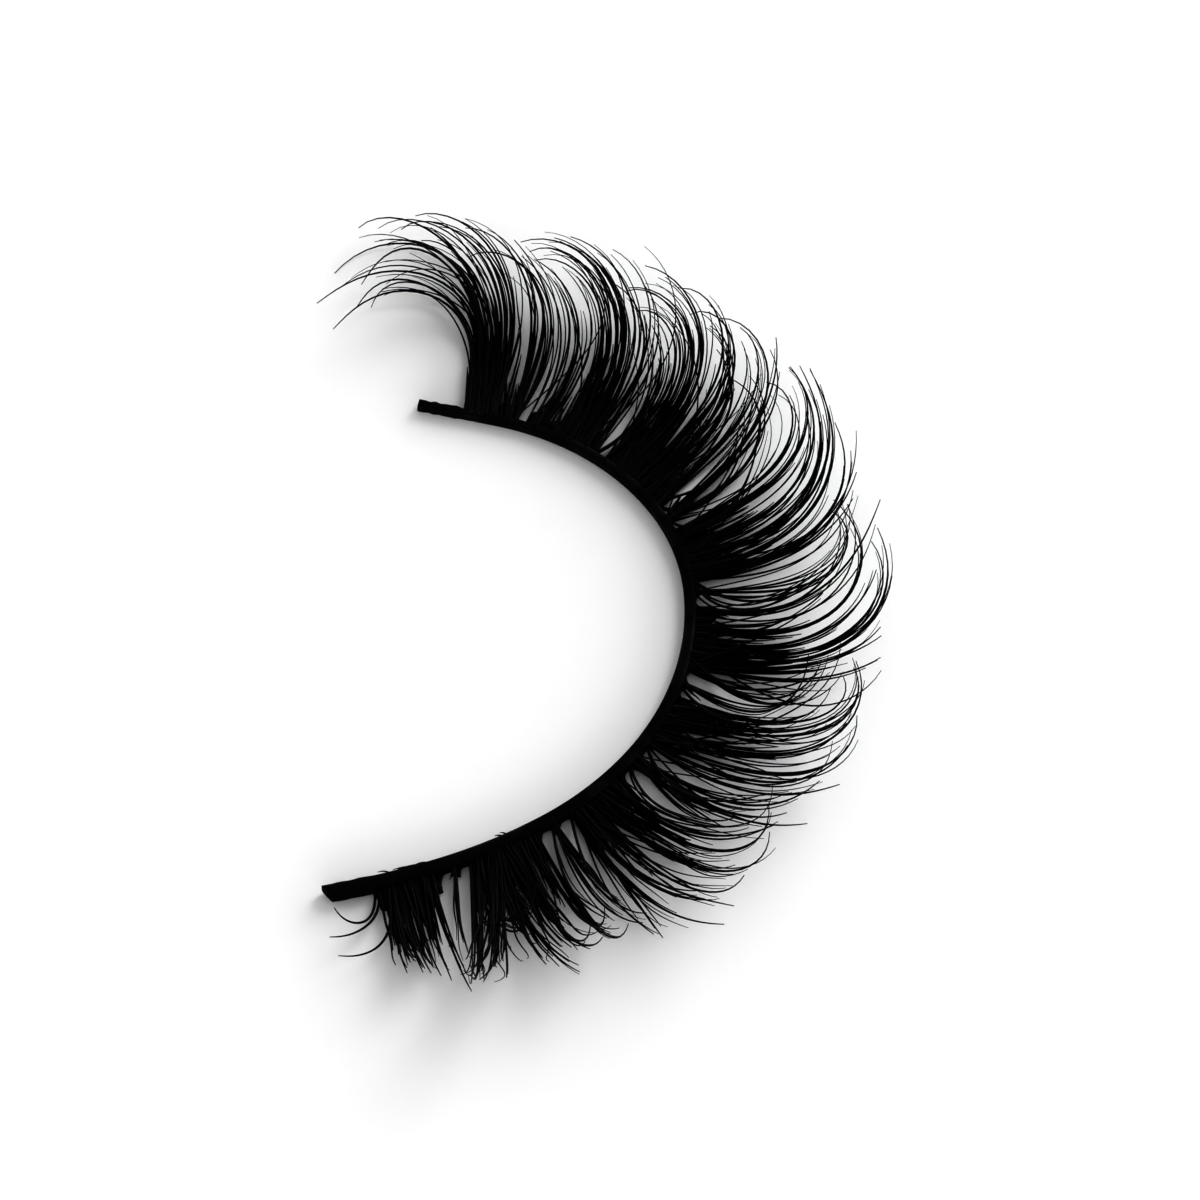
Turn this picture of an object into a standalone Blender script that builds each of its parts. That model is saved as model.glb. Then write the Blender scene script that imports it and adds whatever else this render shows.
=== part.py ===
"""False eyelash strip: a black cotton band that carries nine clusters of curled black fibre.

The strip lies on a table on the flat underside of its band, bent into its natural C, with the lashes
curling up and over. +X is to the right of the C's back, +Y runs from the inner to the outer corner and
+Z is up. Lengths are in metres, and a distance along the band is its run from the outer corner.
"""
import math
from collections import namedtuple

import bmesh
import bpy
from mathutils import Vector

MM = 0.001
UP = Vector((0, 0, 1))

# The band's middle line, as a chain of arcs from the outer corner to the inner corner
OUTER_END = Vector((-6.94, 9.53, 0)) * MM
FIRST_HEADING = math.radians(-13)
Stretch = namedtuple("Stretch", "length_mm turn_deg")
BAND_LINE = [
    Stretch(3.0, -1),
    Stretch(3.5, -20),
    Stretch(3.5, -22),
    Stretch(4.0, -29),
    Stretch(4.0, -22),
    Stretch(4.0, -22),
    Stretch(4.0, -19),
    Stretch(4.0, -12),
    Stretch(4.0, -8),
]
BAND_RUN = sum(stretch.length_mm for stretch in BAND_LINE) * MM

# The band's section, which grows from the outer corner to the inner corner
WIDTH_OUTER = 0.32 * MM
WIDTH_INNER = 0.54 * MM
HEIGHT_OUTER = 0.36 * MM
HEIGHT_INNER = 0.50 * MM
BAND_STEPS = 48
BAND_EDGE = 0.07 * MM
END_CUT = 0.30 * MM

# One row for each cluster: where it sits, how wide it is, and how its hairs run
Fan = namedtuple("Fan", "run_mm root_mm tip_mm length_mm turn_deg lean_deg roll_deg")
FANS = [
    Fan(2.90, 2.1, 3.0, 10.8, 150, 3, 70),
    Fan(5.65, 2.3, 2.7, 10.1, 138, 1, 62),
    Fan(8.35, 2.2, 2.6, 9.8, 140, 6, 56),
    Fan(12.05, 3.4, 4.2, 9.6, 122, 6, 50),
    Fan(15.95, 3.0, 3.6, 9.45, 122, -2, 40),
    Fan(19.75, 3.1, 3.9, 9.3, 108, 4, 28),
    Fan(23.55, 3.1, 3.9, 8.7, 84, -1, 25),
    Fan(27.45, 3.1, 3.6, 8.2, 76, -12, 10),
    Fan(31.15, 2.2, 2.8, 5.2, 42, -8, 12),
]
CURL_POWER = 2.1
CURL_STEPS = 40

# The locks of a cluster: a curled sheet of fibre that splits into pointed locks
LOCKS = 5
ROOT_CLEARANCE = 0.06 * MM
ROOT_HEIGHT = 0.24 * MM
FIBRE_DEPTH = 0.34 * MM
SPLIT_SHARE = 0.30
ROOT_ROWS = 3
LOCK_ROWS = 7
LOCK_FILL = 0.92
EDGE_DEPTH = 0.45
TIP_DEPTH = 0.22
SHORT_LOCK = 0.86


def material(name, colour, roughness):
    made = bpy.data.materials.new(name)
    made.use_nodes = True
    shader = made.node_tree.nodes["Principled BSDF"]
    shader.inputs["Base Color"].default_value = (*colour, 1)
    shader.inputs["Roughness"].default_value = roughness
    shader.inputs["Metallic"].default_value = 0
    return made


def band_frame(run):
    """The point on the band's middle line at a run, with the directions along and out of the C."""
    point = OUTER_END.copy()
    heading = FIRST_HEADING
    left = run
    for stretch in BAND_LINE:
        length = stretch.length_mm * MM
        walked = min(left, length)
        turn = math.radians(stretch.turn_deg) * walked / length
        chord = walked * math.sin(turn / 2) / (turn / 2) if turn else walked
        middle = heading + turn / 2
        point += Vector((math.cos(middle), math.sin(middle), 0)) * chord
        heading += turn
        left -= walked
    along = Vector((math.cos(heading), math.sin(heading), 0))
    outward = Vector((-along.y, along.x, 0))
    return point, along, outward


def band_size(run):
    """The band's width and height at a run."""
    share = run / BAND_RUN
    width = WIDTH_OUTER + (WIDTH_INNER - WIDTH_OUTER) * share
    height = HEIGHT_OUTER + (HEIGHT_INNER - HEIGHT_OUTER) * share
    return width, height


def hair_shape(run):
    """Length, curl, lean and roll of the hair at a run, blended between the clusters' rows."""
    before = FANS[0]
    after = FANS[-1]
    for fan in FANS:
        if fan.run_mm * MM <= run:
            before = fan
    for fan in reversed(FANS):
        if fan.run_mm * MM >= run:
            after = fan
    gap = (after.run_mm - before.run_mm) * MM
    share = min(max((run - before.run_mm * MM) / gap, 0), 1) if gap > 0 else 0

    def blend(name):
        return getattr(before, name) * (1 - share) + getattr(after, name) * share

    turn, lean, roll = (math.radians(blend(name)) for name in ("turn_deg", "lean_deg", "roll_deg"))
    return blend("length_mm") * MM, turn, lean, roll


def hair_point(run, share):
    """The point at a share of its length on the hair rooted at a run.

    A hair leaves the band level and turns ever faster towards its tip. It leans along the band, and
    its curl rolls over from upright at the inner corner to nearly flat at the outer corner.
    """
    point, along, outward = band_frame(run)
    length, turn, lean, roll = hair_shape(run)
    ahead = outward * math.cos(lean) - along * math.sin(lean)
    sideways = -outward * math.sin(lean) - along * math.cos(lean)
    curl = UP * math.cos(roll) + sideways * math.sin(roll)
    width, _ = band_size(run)
    point += outward * (width / 2 + ROOT_CLEARANCE) + UP * ROOT_HEIGHT
    steps = max(1, round(CURL_STEPS * share))
    for step in range(steps):
        reached = share * (step + 0.5) / steps
        angle = turn * reached ** CURL_POWER
        point += (ahead * math.cos(angle) + curl * math.sin(angle)) * (length * share / steps)
    return point


def new_object(name, bm, look, location, collection, parent):
    mesh = bpy.data.meshes.new(name)
    bm.to_mesh(mesh)
    bm.free()
    mesh.materials.append(look)
    made = bpy.data.objects.new(name, mesh)
    made.location = location
    made.parent = parent
    collection.objects.link(made)
    return made


def set_depths(made, depths):
    """Gives each vertex its share of the Solidify modifier's thickness."""
    group = made.vertex_groups.new(name="depth")
    for index, depth in enumerate(depths):
        group.add([index], depth, "REPLACE")
    return group


def build_band(look, collection, parent):
    """The thread band: a flat strip on the table, raised to its height, with rounded edges."""
    bm = bmesh.new()
    depths = []
    rows = []
    for step in range(BAND_STEPS + 1):
        run = BAND_RUN * step / BAND_STEPS
        point, along, outward = band_frame(run)
        width, height = band_size(run)
        slant = along * END_CUT / 2 if step == BAND_STEPS else Vector()
        rows.append((
            bm.verts.new(point + outward * width / 2 - slant),
            bm.verts.new(point - outward * width / 2 + slant),
        ))
        depths += [height / HEIGHT_INNER] * 2
    for (outer, inner), (next_outer, next_inner) in zip(rows, rows[1:]):
        bm.faces.new((outer, inner, next_inner, next_outer))
    band = new_object("band", bm, look, (0, 0, 0), collection, parent)

    wall = band.modifiers.new("height", "SOLIDIFY")
    wall.thickness = HEIGHT_INNER
    wall.offset = 1
    wall.vertex_group = set_depths(band, depths).name
    rounded = band.modifiers.new("rounded_edges", "BEVEL")
    rounded.width = BAND_EDGE
    rounded.segments = 1
    rounded.limit_method = "ANGLE"
    rounded.angle_limit = math.radians(50)
    return band


def build_fan(number, fan, look, collection, parent):
    """One cluster: a curled sheet that widens from its root and splits into pointed locks."""
    bm = bmesh.new()
    depths = []
    centre, _, _ = band_frame(fan.run_mm * MM)

    def corner(across, share, depth):
        half = (fan.root_mm + (fan.tip_mm - fan.root_mm) * share) * MM / 2
        depths.append(depth)
        return bm.verts.new(hair_point(fan.run_mm * MM + across * half, share) - centre)

    def fill(lower, upper):
        for (a, b), (c, d) in zip(zip(lower, lower[1:]), zip(upper, upper[1:])):
            bm.faces.new((a, b, d, c))

    columns = 2 * LOCKS + 1
    sheet = []
    for row in range(ROOT_ROWS + 1):
        share = SPLIT_SHARE * row / ROOT_ROWS
        sheet.append([])
        for column in range(columns):
            thinner = (1 - EDGE_DEPTH) * row / ROOT_ROWS if column % 2 == 0 else 0
            sheet[-1].append(corner(2 * column / (columns - 1) - 1, share, 1 - thinner))
    for lower, upper in zip(sheet, sheet[1:]):
        fill(lower, upper)

    for lock in range(LOCKS):
        middle = (2 * lock + 1) / LOCKS - 1
        reach = 1 if lock % 2 else SHORT_LOCK
        lower = sheet[-1][2 * lock:2 * lock + 3]
        for row in range(1, LOCK_ROWS):
            along = row / LOCK_ROWS
            share = SPLIT_SHARE + (reach - SPLIT_SHARE) * along
            half = LOCK_FILL / LOCKS * (1 - along ** 1.5)
            depth = 1 - (1 - TIP_DEPTH) * along
            upper = [
                corner(middle - half, share, depth * EDGE_DEPTH),
                corner(middle, share, depth),
                corner(middle + half, share, depth * EDGE_DEPTH),
            ]
            fill(lower, upper)
            lower = upper
        tip = corner(middle, reach, TIP_DEPTH)
        bm.faces.new((lower[0], lower[1], tip))
        bm.faces.new((lower[1], lower[2], tip))

    made = new_object(f"lash_fan_{number}", bm, look, centre, collection, parent)
    wall = made.modifiers.new("fibre_depth", "SOLIDIFY")
    wall.thickness = FIBRE_DEPTH
    wall.offset = 0
    wall.vertex_group = set_depths(made, depths).name
    return made


def build():
    for old in list(bpy.data.objects):
        bpy.data.objects.remove(old)
    collection = bpy.data.collections.new("false_eyelash_strip")
    bpy.context.scene.collection.children.link(collection)
    strip = bpy.data.objects.new("strip", None)
    strip.empty_display_size = 2 * MM
    collection.objects.link(strip)

    cotton = material("black_cotton", (0.012, 0.012, 0.012), 0.85)
    fibre = material("black_fibre", (0.006, 0.006, 0.007), 0.38)
    build_band(cotton, collection, strip)
    for number, fan in enumerate(FANS, 1):
        build_fan(number, fan, fibre, collection, strip)


build()
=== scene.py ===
# %% [markdown]
# # A false eyelash strip
#
# A strip lash is a thin thread band with hundreds of curled fibres held in it. It is tiny, about 33 mm
# long, and its whole look is in its outline: black hairs, the boldest of them a tenth of a millimetre
# thick, that leave the band in clusters, sweep out together and turn up at their tips.
#
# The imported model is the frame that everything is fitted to. It holds the band and nine clusters as
# plain solids, and this script dresses each of them with the real thing.

# %% Load the frame
import math
import random
from collections import namedtuple

import bpy
import bmesh
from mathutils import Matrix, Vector


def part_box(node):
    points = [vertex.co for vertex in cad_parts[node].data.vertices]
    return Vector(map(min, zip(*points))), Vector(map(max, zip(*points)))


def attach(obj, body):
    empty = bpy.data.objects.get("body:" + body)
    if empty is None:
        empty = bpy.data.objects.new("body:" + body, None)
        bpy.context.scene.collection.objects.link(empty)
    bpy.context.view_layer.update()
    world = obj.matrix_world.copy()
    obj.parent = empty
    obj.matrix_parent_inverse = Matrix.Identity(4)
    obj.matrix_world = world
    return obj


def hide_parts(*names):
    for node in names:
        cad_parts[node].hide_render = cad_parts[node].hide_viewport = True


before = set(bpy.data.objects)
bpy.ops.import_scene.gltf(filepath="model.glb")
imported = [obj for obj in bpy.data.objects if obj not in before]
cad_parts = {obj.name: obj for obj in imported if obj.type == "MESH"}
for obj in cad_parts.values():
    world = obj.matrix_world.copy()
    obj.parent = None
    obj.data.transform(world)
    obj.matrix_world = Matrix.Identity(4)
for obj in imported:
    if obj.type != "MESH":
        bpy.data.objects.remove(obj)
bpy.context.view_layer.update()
MM = 0.001
UP = Vector((0, 0, 1))
print("nodes:", ", ".join(sorted(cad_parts)))

# %% [markdown]
# ## The line that everything follows
#
# The band's middle line is a chain of arcs from the outer corner to the inner corner, the same
# chain that the solids were made from. Its start and its turns come from a fit to a traced line,
# rounded to whole degrees. A place on the strip is a run along this line, and each run
# gives three directions: along the band, outward to the lashes, and up.

# %% The band's middle line
OUTER_END = Vector((-6.94, 9.53, 0)) * MM
FIRST_HEADING = math.radians(-13)
Stretch = namedtuple("Stretch", "length_mm turn_deg")
BAND_LINE = [
    Stretch(3.0, -1),
    Stretch(3.5, -20),
    Stretch(3.5, -22),
    Stretch(4.0, -29),
    Stretch(4.0, -22),
    Stretch(4.0, -22),
    Stretch(4.0, -19),
    Stretch(4.0, -12),
    Stretch(4.0, -8),
]
BAND_RUN = sum(stretch.length_mm for stretch in BAND_LINE) * MM
BAND_WIDTHS = (0.32 * MM, 0.54 * MM)
BAND_HEIGHTS = (0.36 * MM, 0.50 * MM)


def band_frame(run):
    """The point on the band's middle line at a run, with the directions along and outward."""
    point = OUTER_END.copy()
    heading = FIRST_HEADING
    left = run
    for stretch in BAND_LINE:
        length = stretch.length_mm * MM
        walked = min(left, length)
        turn = math.radians(stretch.turn_deg) * walked / length
        chord = walked * math.sin(turn / 2) / (turn / 2) if turn else walked
        middle = heading + turn / 2
        point += Vector((math.cos(middle), math.sin(middle), 0)) * chord
        heading += turn
        left -= walked
    along = Vector((math.cos(heading), math.sin(heading), 0))
    return point, along, Vector((-along.y, along.x, 0))


def band_size(run):
    """The band's width and height at a run."""
    share = min(max(run / BAND_RUN, 0), 1)
    width, height = (a + (b - a) * share for a, b in (BAND_WIDTHS, BAND_HEIGHTS))
    return width, height


middle_of_band = band_frame(BAND_RUN / 2)[0]
_, band_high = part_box("band")
print("band line", round(BAND_RUN / MM, 1), "mm; its back is at x =", round(middle_of_band.x / MM, 2),
      "mm and the solid's at", round(band_high[0] / MM, 2), "mm")

# %% [markdown]
# ## The camera, first of all
#
# The photo looks down on the strip from the front, 55 degrees above the table. A long lens from
# 220 mm away keeps the C almost free of perspective. The point that the camera looks at, and the
# width of table that fills the frame, are the photo's framing.

# %% Camera
LOOK_AT = Vector((-0.272, 0.925, 0)) * MM
CAMERA_HEIGHT_ANGLE = math.radians(55)
CAMERA_DISTANCE = 220 * MM
FRAME_WIDTH = 43.2 * MM
SENSOR_WIDTH = 36.0

to_camera = Vector((0, -math.cos(CAMERA_HEIGHT_ANGLE), math.sin(CAMERA_HEIGHT_ANGLE)))
camera_data = bpy.data.cameras.new("photo_camera")
camera_data.sensor_fit = "HORIZONTAL"
camera_data.sensor_width = SENSOR_WIDTH
camera_data.lens = SENSOR_WIDTH * CAMERA_DISTANCE / FRAME_WIDTH
camera_data.clip_start = 0.005
camera_data.clip_end = 10
camera = bpy.data.objects.new("photo_camera", camera_data)
camera.location = LOOK_AT + to_camera * CAMERA_DISTANCE
camera.rotation_euler = to_camera.to_track_quat("Z", "Y").to_euler()
bpy.context.collection.objects.link(camera)
bpy.context.scene.camera = camera
print("lens", round(camera_data.lens, 1), "mm")

# %% [markdown]
# ## Sums written as Python
#
# A node tree is hard to read as a list of links. This small class wraps a socket so that ordinary
# operators add the Math nodes: `1 - mask * 2` is two nodes. The bench holds one tree and makes any
# other node in one call, with its settings first and then the values or links of its sockets.

# %% A socket that does sums, and a bench that makes nodes
class Wire:
    """A node's output socket, with Python's operators."""

    def __init__(self, bench, socket):
        self.bench = bench
        self.socket = socket

    def __add__(self, other):
        return self.bench.math("ADD", self, other)

    def __radd__(self, other):
        return self.bench.math("ADD", other, self)

    def __sub__(self, other):
        return self.bench.math("SUBTRACT", self, other)

    def __rsub__(self, other):
        return self.bench.math("SUBTRACT", other, self)

    def __mul__(self, other):
        return self.bench.math("MULTIPLY", self, other)

    def __truediv__(self, other):
        return self.bench.math("DIVIDE", self, other)

    def __rtruediv__(self, other):
        return self.bench.math("DIVIDE", other, self)

    def __pow__(self, other):
        return self.bench.math("POWER", self, other)


class Bench:
    """One node tree, and the one call that adds a node to it."""

    def __init__(self, tree):
        self.tree = tree

    def node(self, kind, settings=None, values=None):
        made = self.tree.nodes.new(kind)
        for name, value in (settings or {}).items():
            if name == "stops":
                self.set_stops(made.color_ramp, value)
            else:
                setattr(made, name, value)
        for name, value in (values or {}).items():
            socket = self.find(made, name)
            if isinstance(value, Wire):
                self.tree.links.new(value.socket, socket)
            else:
                socket.default_value = value
        return {socket.name: Wire(self, socket) for socket in made.outputs if socket.enabled}

    def find(self, made, name):
        """A node's input by number, or by name among those that its settings have switched on."""
        if isinstance(name, int):
            return made.inputs[name]
        return next(socket for socket in made.inputs if socket.enabled and socket.name == name)

    def set_stops(self, ramp, stops):
        while len(ramp.elements) < len(stops):
            ramp.elements.new(0.5)
        for element, (place, grey) in zip(ramp.elements, stops):
            element.position = place
            element.color = (grey, grey, grey, 1)

    def math(self, operation, *values):
        return self.node("ShaderNodeMath", {"operation": operation}, dict(enumerate(values)))["Value"]


print("bench ready")

# %% [markdown]
# ## Black fibre
#
# The hairs are heat-set synthetic fibre, dyed black right through. They are smooth, so each one has
# a soft narrow gloss, and they are never one flat black: the dye and the heat leave some hairs a
# little browner and duller than others. Each hair carries a random `shade`, and the colour and the
# roughness follow it. A fine noise adds the slight unevenness of the drawn fibre.

# %% Fibre material
NEAR_BLACK = (0.0006, 0.0006, 0.0007, 1)
FAINT_SHINE = 0.04


def new_material(name):
    made = bpy.data.materials.new(name)
    made.use_nodes = True
    made.node_tree.nodes.clear()
    return made, Bench(made.node_tree)


def finish_material(bench, values):
    """Ends a material in one Principled shader with these sockets."""
    shader = bench.node("ShaderNodeBsdfPrincipled", {}, values)["BSDF"]
    bench.node("ShaderNodeOutputMaterial", {}, {"Surface": shader})


def fibre_material():
    made, bench = new_material("black_fibre")
    place = bench.node("ShaderNodeTexCoord")["Object"]
    shade = bench.node("ShaderNodeAttribute", {"attribute_name": "shade"})["Fac"]
    streak = bench.node("ShaderNodeTexNoise", {}, {"Vector": place, "Scale": 4200.0, "Detail": 2.0})
    colour = bench.node("ShaderNodeMix", {"data_type": "RGBA"}, {
        "Factor": shade * 0.7 + streak["Fac"] * 0.3,
        "A": NEAR_BLACK,
        "B": (0.0034, 0.0030, 0.0028, 1),
    })["Result"]
    bump = bench.node("ShaderNodeBump", {}, {
        "Height": streak["Fac"], "Strength": 0.12, "Distance": 0.01 * MM,
    })["Normal"]
    finish_material(bench, {
        "Base Color": colour,
        "Roughness": 0.34 + shade * 0.16 + streak["Fac"] * 0.06,
        "Specular IOR Level": FAINT_SHINE,
        "Normal": bump,
    })
    return made


fibre = fibre_material()
print("material", fibre.name)

# %% [markdown]
# ## Black cotton
#
# The band is cotton thread: matt, a trifle greyer than the fibre, and fuzzy close up. Lash glue and
# finishing size have soaked into it unevenly, so in places it shines like dried varnish. A slow
# noise says where, and turns up the coat and smooths the roughness there.

# %% Cotton material
def cotton_material():
    made, bench = new_material("black_cotton")
    place = bench.node("ShaderNodeTexCoord")["Object"]
    fuzz = bench.node("ShaderNodeTexNoise", {}, {"Vector": place, "Scale": 9000.0, "Detail": 3.0})["Fac"]
    patch = bench.node("ShaderNodeTexNoise", {}, {"Vector": place, "Scale": 900.0, "Detail": 1.0})["Fac"]
    glued = bench.node("ShaderNodeValToRGB", {"stops": [(0.50, 0.0), (0.66, 1.0)]}, {"Fac": patch})["Color"]
    colour = bench.node("ShaderNodeMix", {"data_type": "RGBA"}, {
        "Factor": fuzz,
        "A": NEAR_BLACK,
        "B": (0.0032, 0.0030, 0.0028, 1),
    })["Result"]
    bump = bench.node("ShaderNodeBump", {}, {
        "Height": fuzz, "Strength": 0.45, "Distance": 0.02 * MM,
    })["Normal"]
    finish_material(bench, {
        "Base Color": colour,
        "Roughness": 0.86 - glued * 0.40,
        "Coat Weight": glued * 0.06,
        "Coat Roughness": 0.25,
        "Specular IOR Level": FAINT_SHINE,
        "Normal": bump,
    })
    return made


cotton = cotton_material()
print("material", cotton.name)

# %% [markdown]
# ## The tree that grows hair
#
# Every hair obeys one rule. It leaves the band nearly level and turns ever faster towards its tip,
# like a ribbon drawn over a blade: after a share u of its length it has turned by `turn` times
# `(1 - (1 - u) ** ease) ** power`. A power above 1 keeps its foot straight, and an ease above 1
# straightens its tip again. A hair that was cut off at a share of its length uses only that share of
# the rule. A small wave to the side keeps the hairs from lying as if they were combed.
# Nobody can draw a thousand of those by hand, so a Geometry Nodes tree grows them. The piece is
# only a cloud of root points, and each point carries its hair's directions, length, turn and radius.
# The tree puts a straight line of points on every root, works out the little step that each point
# adds, and Accumulate Field adds the steps up, hair by hair. Last, a round section follows each hair
# with a radius that runs out to a fine point.

# %% Hair tree
def new_tree(name, inputs):
    """A Geometry Nodes tree with named inputs; returns the bench, the input wires and the ids."""
    tree = bpy.data.node_groups.new(name, "GeometryNodeTree")
    tree.interface.new_socket("Geometry", in_out="INPUT", socket_type="NodeSocketGeometry")
    ids = {}
    for label, kind in inputs.items():
        ids[label] = tree.interface.new_socket(label, in_out="INPUT", socket_type=kind).identifier
    tree.interface.new_socket("Geometry", in_out="OUTPUT", socket_type="NodeSocketGeometry")
    bench = Bench(tree)
    return bench, bench.node("NodeGroupInput"), ids


def end_tree(bench, geometry, look):
    """Realizes what the tree made, gives it its material and sends it out."""
    real = bench.node("GeometryNodeRealizeInstances", {}, {"Geometry": geometry})["Geometry"]
    smooth = bench.node("GeometryNodeSetShadeSmooth", {}, {"Geometry": real})["Geometry"]
    dressed = bench.node("GeometryNodeSetMaterial", {}, {"Geometry": smooth, "Material": look})["Geometry"]
    bench.node("NodeGroupOutput", {}, {"Geometry": dressed})


def attribute(bench, name, kind="FLOAT"):
    """Reads a named attribute of the points."""
    return bench.node("GeometryNodeInputNamedAttribute", {"data_type": kind}, {"Name": name})["Attribute"]


def scaled(bench, vector, factor):
    values = {"Vector": vector, "Scale": factor}
    return bench.node("ShaderNodeVectorMath", {"operation": "SCALE"}, values)["Vector"]


def added(bench, first, second):
    return bench.node("ShaderNodeVectorMath", {"operation": "ADD"}, {0: first, 1: second})["Vector"]


def point_line(bench, count):
    """A line with this many points, which a tree then moves to their places."""
    line = bench.node("GeometryNodeCurvePrimitiveLine", {}, {"End": (0, 0, MM)})["Curve"]
    return bench.node("GeometryNodeResampleCurve", {}, {"Curve": line, "Count": count})["Curve"]


def round_tube(bench, curve, radius, sides):
    """A round section along a curve, with closed ends."""
    ring = bench.node("GeometryNodeCurvePrimitiveCircle", {}, {"Resolution": sides, "Radius": 1.0})["Curve"]
    return bench.node("GeometryNodeCurveToMesh", {}, {
        "Curve": curve, "Profile Curve": ring, "Scale": radius, "Fill Caps": True,
    })["Mesh"]


TIP_LOSS = 0.72
WAVE_TURNS = 1.8


def hair_tree():
    bench, given, ids = new_tree("grow_hair", {
        "Points per hair": "NodeSocketInt",
        "Sides": "NodeSocketInt",
        "Tip taper": "NodeSocketFloat",
        "Table clearance": "NodeSocketFloat",
        "Fibre": "NodeSocketMaterial",
    })
    line = point_line(bench, given["Points per hair"])
    placed = bench.node("GeometryNodeInstanceOnPoints", {}, {"Points": given["Geometry"], "Instance": line})
    hairs = bench.node("GeometryNodeRealizeInstances", {}, {"Geometry": placed["Instances"]})["Geometry"]

    share = bench.node("GeometryNodeSplineParameter")["Factor"]
    steps = given["Points per hair"] - 1
    reached = share + 0.5 / steps
    left = bench.math("MAXIMUM", 1 - reached * attribute(bench, "cut"), 0)
    bent = (1 - left ** attribute(bench, "ease")) ** attribute(bench, "power")
    angle = attribute(bench, "lift") + attribute(bench, "turn") * bent
    cosine = bench.math("COSINE", angle)
    sine = bench.math("SINE", angle)
    wave = bench.math("SINE", share * WAVE_TURNS * math.tau + attribute(bench, "phase"))
    sway = (attribute(bench, "sway") + attribute(bench, "wave") * wave) * share
    ahead = scaled(bench, attribute(bench, "ahead", "FLOAT_VECTOR"), cosine)
    curl = scaled(bench, attribute(bench, "curl", "FLOAT_VECTOR"), sine)
    side = scaled(bench, attribute(bench, "side", "FLOAT_VECTOR"), sway)
    stride = attribute(bench, "length") / steps
    step = scaled(bench, added(bench, added(bench, ahead, curl), side), stride)
    walked = bench.node("GeometryNodeAccumulateField", {"data_type": "FLOAT_VECTOR"}, {
        "Value": step, "Group ID": attribute(bench, "hair", "INT"),
    })["Trailing"]
    place = added(bench, attribute(bench, "root", "FLOAT_VECTOR"), walked)
    parts = bench.node("ShaderNodeSeparateXYZ", {}, {"Vector": place})
    height = bench.math("MAXIMUM", parts["Z"], given["Table clearance"])
    place = bench.node("ShaderNodeCombineXYZ", {}, {"X": parts["X"], "Y": parts["Y"], "Z": height})["Vector"]
    hairs = bench.node("GeometryNodeSetPosition", {}, {"Geometry": hairs, "Position": place})["Geometry"]

    slim = 1 - share ** given["Tip taper"] * TIP_LOSS
    tube = round_tube(bench, hairs, attribute(bench, "thickness") * slim, given["Sides"])
    end_tree(bench, tube, given["Fibre"])
    return bench.tree, ids


hair_maker, hair_inputs = hair_tree()
print("hair tree:", len(hair_maker.nodes), "nodes")
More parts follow.
